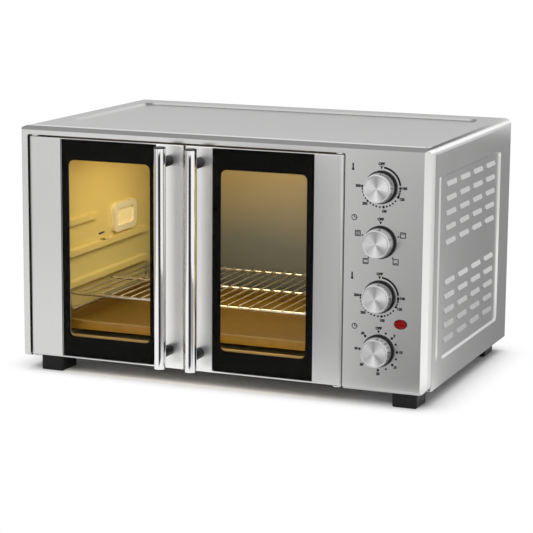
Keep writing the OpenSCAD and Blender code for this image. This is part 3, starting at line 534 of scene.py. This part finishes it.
ceramic = speckled("white_ceramic", (0.8, 0.78, 0.72), 0.5)
control_plastic = speckled("control_plastic", (0.62, 0.52, 0.34), 0.5)
motor_paint = speckled("motor_paint", (0.05, 0.05, 0.055), 0.4)
shaft_steel = speckled("shaft_steel", grey(0.6), 0.34, 1.0, 900.0, 0.01)
lamp_glass = speckled("lamp_glass", (0.72, 0.64, 0.4), 0.35, 0.0, 250.0, 0.2)
lamp_rim = speckled("lamp_rim", (0.8, 0.74, 0.55), 0.35, 0.4)
print("inner finishes ready")

# %% [markdown]
# The CAD solids now take their finishes by name. A solid that a finer piece will stand
# for is left out here, and so are the knob faces, which get a finish of their own.

# %% Dress the solids
SIDES = ("left", "right")
KNOBS = ("upper_heat", "function", "lower_heat", "timer")
FEET = [end + side + "_foot" for end in ("front_", "rear_") for side in SIDES]
dress = {
    front_steel: ["front_fascia"],
    door_steel: ["left_door_pan", "right_door_pan", "hinge_brackets"],
    casing_steel: ["outer_wrap"],
    zinc: ["rear_panel", "base_plate", "casing_screws", "lamp_housing"],
    liner_steel: ["left_door_liner", "right_door_liner"],
    sill_steel_painted_glow: ["mouth_frame"],
    back_lining_painted_shade: ["cavity_back"],
    lining: ["cavity_left_wall", "cavity_right_wall", "cavity_roof", "cavity_floor"],
    lamp_rim: ["lamp_bezel"],
    enamel: ["baking_tray"],
    heater_steel: ["upper_front_heater", "upper_rear_heater",
                   "lower_front_heater", "lower_rear_heater"],
    chrome: ["left_handle_bar", "right_handle_bar"],
    wire_chrome: ["wire_rack"],
    black_plastic: FEET + ["left_handle_posts", "right_handle_posts", "left_handle_plugs",
                           "right_handle_plugs", "door_catches", "cord_gland"],
    ceramic: ["heater_bushes"],
    control_plastic: ["upper_thermostat", "function_switch", "lower_thermostat", "timer_unit"],
    motor_paint: ["spit_motor"],
    shaft_steel: ["spit_socket"] + [name + "_shaft" for name in KNOBS],
    lamp_glass: ["lamp_cover", "lamp_bulb"],
}
for mat, names in dress.items():
    for name in names:
        wear(solids[name], mat)
print("dressed:", sum(len(v) for v in dress.values()))

# %% [markdown]
# No folded sheet has a knife edge. A narrow bevel on the edges of the front, the doors
# and the feet catches the light as the real ones do. The solids come in as loose
# triangles, so a weld joins them and a dissolve makes whole faces of them first. Normals
# weighted by area keep the wide faces flat next to the narrow ones.

# %% Soften the edges
BEVEL_STEPS, SHARP_ANGLE, FLAT_ANGLE = 2, 30, 0.5
BEVEL_MM = {"front_fascia": 0.8, "left_door_pan": 0.5, "right_door_pan": 0.5,
            **{name: 0.8 for name in FEET}}


def smooth(obj):
    """Shades an object's faces as one curved surface."""
    obj.data.polygons.foreach_set("use_smooth", [True] * len(obj.data.polygons))


def soften(obj, width_mm):
    """Makes whole faces of a solid's triangles and rounds its sharp edges."""
    weld = obj.modifiers.new("weld", "WELD")
    weld.merge_threshold = 0.00001
    flat = obj.modifiers.new("whole_faces", "DECIMATE")
    flat.decimate_type = "DISSOLVE"
    flat.angle_limit = math.radians(FLAT_ANGLE)
    bevel = obj.modifiers.new("soft_edges", "BEVEL")
    bevel.width = width_mm * MM
    bevel.segments = BEVEL_STEPS
    bevel.limit_method = "ANGLE"
    bevel.angle_limit = math.radians(SHARP_ANGLE)
    bevel.miter_outer = "MITER_ARC"
    even = obj.modifiers.new("even_faces", "WEIGHTED_NORMAL")
    even.weight = 100
    smooth(obj)


for name, width in BEVEL_MM.items():
    soften(solids[name], width)
print("edges softened:", len(BEVEL_MM))

# %% [markdown]
# The pieces that are too fine for CAD are thin plates and rings. Their outlines are drawn
# first, in the plane of the front. Bands of faces between copies of an outline then make
# closed meshes: a plate, a ring between two outlines, and a body turned round an axis
# that points out of the front.

# %% Helpers for fine pieces


def round_rect(x0, z0, x1, z1, r, steps=8):
    """Outline of a rectangle with round corners, anticlockwise seen from the front."""
    points = []
    for cx, cz, start in ((x1 - r, z0 + r, -90), (x1 - r, z1 - r, 0),
                          (x0 + r, z1 - r, 90), (x0 + r, z0 + r, 180)):
        for i in range(steps + 1):
            a = math.radians(start + 90 * i / steps)
            points.append((cx + r * math.cos(a), cz + r * math.sin(a)))
    return points


def oval(x, z, width, height, steps):
    """Outline of an oval that reaches width and height from its middle."""
    turns = [2 * math.pi * i / steps for i in range(steps)]
    return [(x + width * math.cos(a), z + height * math.sin(a)) for a in turns]


def loop(bm, outline, y):
    """The points of an outline at one depth."""
    return [bm.verts.new(spot(x, y, z)) for x, z in outline]


def skin(bm, loops):
    """Joins each loop of points to the next one with a band of faces."""
    for a, b in zip(loops, loops[1:]):
        for i in range(len(a)):
            j = (i + 1) % len(a)
            bm.faces.new((a[i], a[j], b[j], b[i]))


def prism(bm, outline, y0, y1):
    """A closed plate of that outline between two depths."""
    front, back = loop(bm, outline, y0), loop(bm, outline, y1)
    bm.faces.new(front)
    bm.faces.new(back[::-1])
    skin(bm, [back, front])


def ring(bm, outer, inner, y0, y1):
    """A closed ring between two outlines with the same number of points."""
    loops = [loop(bm, line, y) for line, y in ((outer, y0), (inner, y0), (inner, y1), (outer, y1))]
    skin(bm, loops + loops[:1])


def turned(bm, profile, x, z, steps=96):
    """Turns a profile of (radius, reach in front of the panel) round the axis at x, z."""
    loops = [loop(bm, oval(x, z, r, r, steps), -out) for r, out in profile]
    skin(bm, loops + loops[:1])


def piece(name, bm, mat, body):
    """Makes an object from a mesh under construction and lets it ride on a body."""
    mesh = bpy.data.meshes.new(name)
    bmesh.ops.recalc_face_normals(bm, faces=bm.faces)
    bm.to_mesh(mesh)
    bm.free()
    obj = add_object(name, mesh)
    mesh.materials.append(mat)
    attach(obj, body)
    return obj


print("fine-piece helpers ready")

# %% [markdown]
# A door's glass is one clear pane with a black border fired on its back. Two pieces
# stand for it: the pane, and a thin ring behind it with a rounded window. Light passes
# the pane only inside the ring. The pane mirrors little, as coated oven glass does.

# %% Door glass
GLASS_T, PRINT_T, PRINT_GAP = 4.0, 0.1, 0.05
BORDER_SIDE, BORDER_END, WINDOW_R, GLASS_R = 12.2, 31.5, 9.0, 1.5
clear_glass = finish("clear_glass", (0.97, 0.965, 0.95), 0.0, Transmission_Weight=1.0, IOR=1.08)
tint(clear_glass, grain(clear_glass, 25), (0.96, 0.955, 0.94), (0.98, 0.975, 0.96), 0, 1)
black_border = finish("black_border", grey(0.003), 0.4, Specular_IOR_Level=0.03)
tint(black_border, grain(black_border, 60), grey(0.0025), (0.004, 0.004, 0.0037))
for side in SIDES:
    low, high = drawn(side + "_door_glass")
    rim = round_rect(low.x, low.z, high.x, high.z, GLASS_R)
    window = round_rect(low.x + BORDER_SIDE, low.z + BORDER_END,
                        high.x - BORDER_SIDE, high.z - BORDER_END, WINDOW_R)
    bm = bmesh.new()
    prism(bm, rim, 0.0, GLASS_T - PRINT_T - PRINT_GAP)
    pane = piece(side + "_pane", bm, clear_glass, side + "_door")
    bm = bmesh.new()
    ring(bm, rim, window, GLASS_T - PRINT_T, GLASS_T)
    border = piece(side + "_glass_border", bm, black_border, side + "_door")
    for obj in (pane, border):
        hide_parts(side + "_door_glass")
    print(side, "glass", round(high.x - low.x, 1), "by", round(high.z - low.z, 1), "mm")

# %% [markdown]
# A knob is a turned metal cap on a black base ring. Turning a profile round the axis
# gives both, with the small rounding that a lathe leaves on each edge. The cap is
# painted darker towards the ring, a painted shade where it nears the panel.

# %% Knobs
CAP = ((17.95, 19.5), (17.95, 21.6), (18.2, 21.9), (19.7, 22.0), (20.3, 21.7), (20.55, 21.1),
       (20.75, 19.0), (22.7, 4.2), (22.5, 3.5), (17.95, 3.5))
BASE = ((8.0, 1.0), (23.5, 1.0), (24.0, 1.5), (24.0, 2.8), (23.6, 3.3), (23.0, 3.5), (8.0, 3.5))
LIGHT_OUT, DARK_OUT, TURNING_MM = 20, 2, 1.5
middles = {}
for name in KNOBS:
    low, high = drawn(name + "_knob")
    middles[name] = ((low.x + high.x) / 2, (low.z + high.z) / 2)
knob_metal = finish("knob_metal", grey(0.56), 0.25, 1.0)
turning = grain(knob_metal, (20, 900, 20), 1.0)
# Painted shade: the cap's tone falls from light at its front to dark next to the panel.
depth = sums(knob_metal, "MULTIPLY_ADD", turning, TURNING_MM * MM, along(knob_metal, "Y"))
tint(knob_metal, depth, grey(0.72), grey(0.3), spot(0, -LIGHT_OUT, 0).y, spot(0, -DARK_OUT, 0).y)
roughen(knob_metal, turning, 0.2, 0.265, 0, 1)
for name, (x, z) in middles.items():
    for part, profile, mat, slot in (("_cap", CAP, knob_metal, "knob_plastic"),
                                     ("_base_ring", BASE, black_plastic, "black_plastic")):
        bm = bmesh.new()
        turned(bm, profile, x, z)
        obj = piece(name + part, bm, mat, name + "_control")
        smooth(obj)
        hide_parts(name + "_knob")
print("knobs:", {name: rounded(middle, 1) for name, middle in middles.items()})

# %% [markdown]
# A knob's face is spun: the tool leaves rings round the middle, and they throw each lamp
# into narrow fans. The rings give the anisotropy a tangent that runs round the axis. The
# fans are also painted into the tone, a painted reflection made as a ramp over the angle
# round the axis.

# %% Spun knob faces
PAINTED_FANS = ((-180, 1.0), (-160, 0.82), (-130, 0.66), (-85, 0.9), (-50, 0.94), (-20, 0.66),
        (0, 0.55), (25, 0.7), (60, 0.9), (95, 0.93), (135, 0.6), (160, 0.8), (180, 1.0))
RINGS_PER_M, RING_TONE = 5000.0, 0.12
spun = finish("spun_face", (0.75, 0.75, 0.745), 0.42, 1.0,
              Anisotropic=0.85, Anisotropic_Rotation=0.25)
knob_x, lowest_z = middles["timer"]
pitch = (middles["upper_heat"][1] - lowest_z) / (len(KNOBS) - 1)
across = sums(spun, "SUBTRACT", along(spun, "X"), spot(knob_x, 0, 0).x)
upward = sums(spun, "SUBTRACT", along(spun, "Z"), spot(0, 0, lowest_z).z)
upward = sums(spun, "WRAP", upward, pitch / 2 * MM, -pitch / 2 * MM)
angle = sums(spun, "ARCTAN2", across, upward)
# Painted reflection: bright and dark fans of the lamps laid into the colour by the angle round the
# axis.
fans = node(spun, "ValToRGB", Fac=span(spun, angle, 0, 1, -math.pi, math.pi))
while len(fans.color_ramp.elements) < len(PAINTED_FANS):
    fans.color_ramp.elements.new(0.5)
for stop, (degrees, shade) in zip(fans.color_ramp.elements, PAINTED_FANS):
    stop.position = (degrees + 180) / 360
    stop.color = (*grey(shade), 1)
outward = sums(spun, "MULTIPLY", length(spun, across, upward), RINGS_PER_M)
outward = node(spun, "CombineXYZ", X=outward).outputs["Vector"]
rings = node(spun, "TexNoise", Vector=outward, Scale=1.0, Detail=2.0).outputs["Fac"]
painted_fan_tone = sums(spun, "SUBTRACT", fans.outputs["Color"], RING_TONE / 2)
tone = sums(spun, "MULTIPLY_ADD", rings, RING_TONE, painted_fan_tone)
tint(spun, tone, grey(0.34), (1.0, 1.0, 0.995), 0.5, 0.95)
tangent = node(spun, "Tangent")
tangent.direction_type = "RADIAL"
tangent.axis = "Y"
feed(spun, "Tangent", tangent.outputs["Tangent"])
for name in KNOBS:
    wear(solids[name + "_face"], spun)
print("spun faces ready, dials", round(pitch, 2), "mm apart")

# %% [markdown]
# The pilot light is a domed oval lens of red plastic in a thin black bezel. The dome is
# built of rings that shrink towards its top, as a quarter circle does.

# %% Pilot light
BEZEL, BEZEL_OUT, LENS_STEPS = 0.7, 0.6, 48
red_lens = finish("red_lens", (0.3, 0.0, 0.0), 0.16, Specular_IOR_Level=0.15)
tint(red_lens, grain(red_lens, 120), (0.27, 0.0, 0.0), (0.34, 0.002, 0.001))
low, high = drawn("indicator_lamp")
lens_x, lens_z = (low.x + high.x) / 2, (low.z + high.z) / 2
lens_w, lens_h, lens_out = (high.x - low.x) / 2, (high.z - low.z) / 2, -low.y


def lens_line(trim, share=1.0):
    """Outline of the lens, trimmed all round and shrunk to a share of that."""
    width, height = (lens_w - trim) * share, (lens_h - trim) * share
    return oval(lens_x, lens_z, width, height, LENS_STEPS)


bm = bmesh.new()
loops = []
for rise in range(0, 90, 10):
    a = math.radians(rise)
    loops.append(loop(bm, lens_line(BEZEL, math.cos(a)), -lens_out * math.sin(a)))
bm.faces.new(loops[0][::-1])
bm.faces.new(loops[-1])
skin(bm, loops)
dome = piece("pilot_lens", bm, red_lens, "casing")
smooth(dome)
bm = bmesh.new()
ring(bm, lens_line(0), lens_line(BEZEL), -BEZEL_OUT, 0)
bezel = piece("pilot_bezel", bm, black_plastic, "casing")
for obj in (dome, bezel):
    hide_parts("indicator_lamp")
print("lens", round(lens_w * 2, 1), "by", round(lens_h * 2, 1), "mm,",
      round(lens_out, 1), "mm proud")

# %% [markdown]
# The dials are printed on the panel in black. A print is a flat layer of ink, so it is
# made of thin closed plates that lie on the steel: dots, arcs, arrowheads and figures.

# %% Helpers for printing
INK, BOLD = 0.08, 0.075


def dial_point(name, degrees, r):
    """A point on a dial, clockwise from its top."""
    x, z = middles[name]
    a = math.radians(degrees)
    return x + r * math.sin(a), z + r * math.cos(a)


def dot(bm, x, z, r, steps=16):
    """A round spot of ink."""
    prism(bm, oval(x, z, r, r, steps), -INK, 0)


def bar(bm, x0, z0, x1, z1):
    """A rectangle of ink."""
    prism(bm, [(x0, z0), (x1, z0), (x1, z1), (x0, z1)], -INK, 0)


def arc(bm, name, start, end, r, width):
    """A band of ink along a dial from one angle to another."""
    steps = max(2, round(abs(end - start) / 4))
    angles = [start + (end - start) * i / steps for i in range(steps + 1)]
    outline = [dial_point(name, a, r + width / 2) for a in angles]
    outline += [dial_point(name, a, r - width / 2) for a in reversed(angles)]
    prism(bm, outline, -INK, 0)


def arrowhead(bm, name, degrees, r, size):
    """A triangle of ink that points to the middle of a dial."""
    x, z = dial_point(name, degrees, r)
    a, half = math.radians(degrees), size / 2
    out, side = (math.sin(a), math.cos(a)), (math.cos(a), -math.sin(a))
    prism(bm, [(x - out[0] * half, z - out[1] * half),
               (x + (out[0] + side[0]) * half, z + (out[1] + side[1]) * half),
               (x + (out[0] - side[0]) * half, z + (out[1] - side[1]) * half)], -INK, 0)


def figures(bm, text, size, x, z):
    """Figures of ink with their middle at x, z."""
    curve = bpy.data.curves.new("figures", "FONT")
    curve.body = text
    curve.align_x, curve.align_y = "CENTER", "CENTER"
    curve.extrude = INK / 2 / size
    curve.offset = BOLD
    curve.resolution_u = 4
    holder = add_object("figures", curve)
    drawn_text = holder.evaluated_get(bpy.context.evaluated_depsgraph_get())
    mesh = bpy.data.meshes.new_from_object(drawn_text)
    stand = Matrix.Translation(spot(x, -INK / 2, z)) @ Matrix.Rotation(math.pi / 2, 4, "X")
    mesh.transform(stand @ Matrix.Scale(size * MM, 4))
    bm.from_mesh(mesh)
    bpy.data.objects.remove(holder)
    bpy.data.curves.remove(curve)
    bpy.data.meshes.remove(mesh)


ink = finish("panel_ink", grey(0.006), 0.5, Specular_IOR_Level=0.15)
tint(ink, grain(ink, 900), grey(0.005), (0.009, 0.009, 0.0085))
print("printing helpers ready")

# %% [markdown]
# The two thermostats carry a thick sweep from OFF to the lowest heat, then dots with plain
# figures. The timer counts minutes in dots, and the function switch points at four small
# pictures of the heaters that are on.

# %% Dials
RING_R, OFF_R, HEAT_R, MINUTE_R, PICTURE_R = 28.8, 33.4, 35.0, 34.2, 36.2
OFF_SIZE, FIGURE_SIZE = 5.4, 5.1
LARGE_DOT, MINUTE_DOT, SMALL_DOT = 2.0, 1.6, 1.45
HEATS = ((90, "100"), (117, "120"), (172, "150"), (224, "200"), (270, "250"))
HEAT_DOTS = (131, 142, 152, 162, 183, 194, 204, 214, 234, 244, 253, 262)
MINUTES = ((45, "5"), (89, "10"), (131, "15"), (180, "20"), (228, "30"), (271, "40"), (315, "60"))
MINUTE_DOTS = (22.5, 66, 110, 155)
PICTURES = ((70, (1,)), (139, (-1,)), (217, (1, -1)), (288, (1, 0, -1)))


def print_off(bm, name):
    """The arrowhead and the word at the top of a dial."""
    arrowhead(bm, name, 0, 28.0, 4.4)
    figures(bm, "OFF", OFF_SIZE, *dial_point(name, 0, OFF_R))


def print_scale(bm, name, steps, r):
    """Large dots at the steps of a dial, each with its figure at a radius."""
    for degrees, label in steps:
        dot(bm, *dial_point(name, degrees, RING_R), LARGE_DOT)
        figures(bm, label, FIGURE_SIZE, *dial_point(name, degrees, r))


def print_heat(bm, name, early):
    """A thermostat: a sweep, then dots, and a figure at each large dot."""
    print_off(bm, name)
    arc(bm, name, 7, 82, RING_R, 2.8)
    print_scale(bm, name, HEATS, HEAT_R)
    for degrees in early + HEAT_DOTS:
        dot(bm, *dial_point(name, degrees, RING_R), SMALL_DOT)


def print_timer(bm, name):
    """The timer: seven large dots with figures and small ones between."""
    print_off(bm, name)
    print_scale(bm, name, MINUTES, MINUTE_R)
    for degrees in MINUTE_DOTS:
        dot(bm, *dial_point(name, degrees, RING_R), MINUTE_DOT)


def print_functions(bm, name):
    """The function switch: framed pictures of the heaters, upper, middle and lower."""
    print_off(bm, name)
    half, line = 4.4, 1.25
    inside = half - line
    bar_half, bar_thick, bar_step = 2.6, 0.55, 2.0
    for degrees, heaters in PICTURES:
        x, z = dial_point(name, degrees, PICTURE_R)
        ring(bm, round_rect(x - half, z - half, x + half, z + half, 0.8, 3),
             round_rect(x - inside, z - inside, x + inside, z + inside, 0.3, 3), -INK, 0)
        for heater in heaters:
            bar_z = z + heater * bar_step
            bar(bm, x - bar_half, bar_z - bar_thick, x + bar_half, bar_z + bar_thick)
        arrowhead(bm, name, degrees, 28.2, 3.2)


print("dials ready to print, rings", RING_R, "mm from the middle")

# %% [markdown]
# Beside each dial stands a small sign: a thermometer for heat, a clock for the other two.
# All the ink of one dial is one piece.

# %% Print the panel
SIGN_AT = {"upper_heat": (546, 330), "function": (549, 256),
           "lower_heat": (547, 171), "timer": (552, 96)}
EARLY_DOTS = {"upper_heat": (98, 105, 111), "lower_heat": (95, 101, 109)}
SAME_POINT = 0.000002


def print_thermometer(bm, x, z):
    """A small thermometer: a bulb and a stem."""
    dot(bm, x, z - 4.0, 1.9)
    bar(bm, x - 1.1, z - 2.6, x + 1.1, z + 4.8)


def print_clock(bm, x, z):
    """A small clock: a ring and two hands."""
    r, line, long_hand, short_hand, steps = 4.4, 1.1, 3.3, 3.1, 24
    ring(bm, oval(x, z, r, r, steps), oval(x, z, r - line, r - line, steps), -INK, 0)
    bar(bm, x - line / 2, z, x + line / 2, z + long_hand)
    bar(bm, x + line / 2, z - line / 2, x + short_hand, z + line / 2)


for name in KNOBS:
    bm = bmesh.new()
    if name in EARLY_DOTS:
        print_heat(bm, name, EARLY_DOTS[name])
        print_thermometer(bm, *SIGN_AT[name])
    elif name == "function":
        print_functions(bm, name)
        print_clock(bm, *SIGN_AT[name])
    else:
        print_timer(bm, name)
        print_clock(bm, *SIGN_AT[name])
    bmesh.ops.remove_doubles(bm, verts=bm.verts, dist=SAME_POINT)
    mark = piece(name + "_dial", bm, ink, "casing")
    print(mark.name, len(mark.data.polygons), "faces")

# %% [markdown]
# The cavity glows warm behind the glass. A flat lamp under the roof stands in for the
# light that the lining throws about, and a narrow one behind the doors lights the front
# of the tray.

# %% Cavity light
WARM = (1.0, 0.84, 0.55)
UNDER_ROOF, BEFORE_TRAY, OVER_TRAY, UNDER_TRAY = 0.02, 0.018, 0.012, 0.006
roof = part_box("cavity_roof")[0].z
tray_low, tray_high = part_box("baking_tray")
middle = (tray_low + tray_high) / 2
soft_box("cavity_glow", (middle.x, middle.y, roof - UNDER_ROOF), (middle.x, middle.y, 0),
         width=0.3, height=0.22, power=1.7, color=WARM, spread=180)
soft_box("tray_glow", (middle.x, tray_low.y - BEFORE_TRAY, tray_low.z + OVER_TRAY),
         (middle.x, tray_low.y, tray_low.z - UNDER_TRAY),
         width=0.4, height=0.01, power=0.12, color=WARM, spread=170)
print("cavity lit from z =", round(roof - UNDER_ROOF, 3),
      "and before the tray at y =", round(tray_low.y - BEFORE_TRAY, 3))
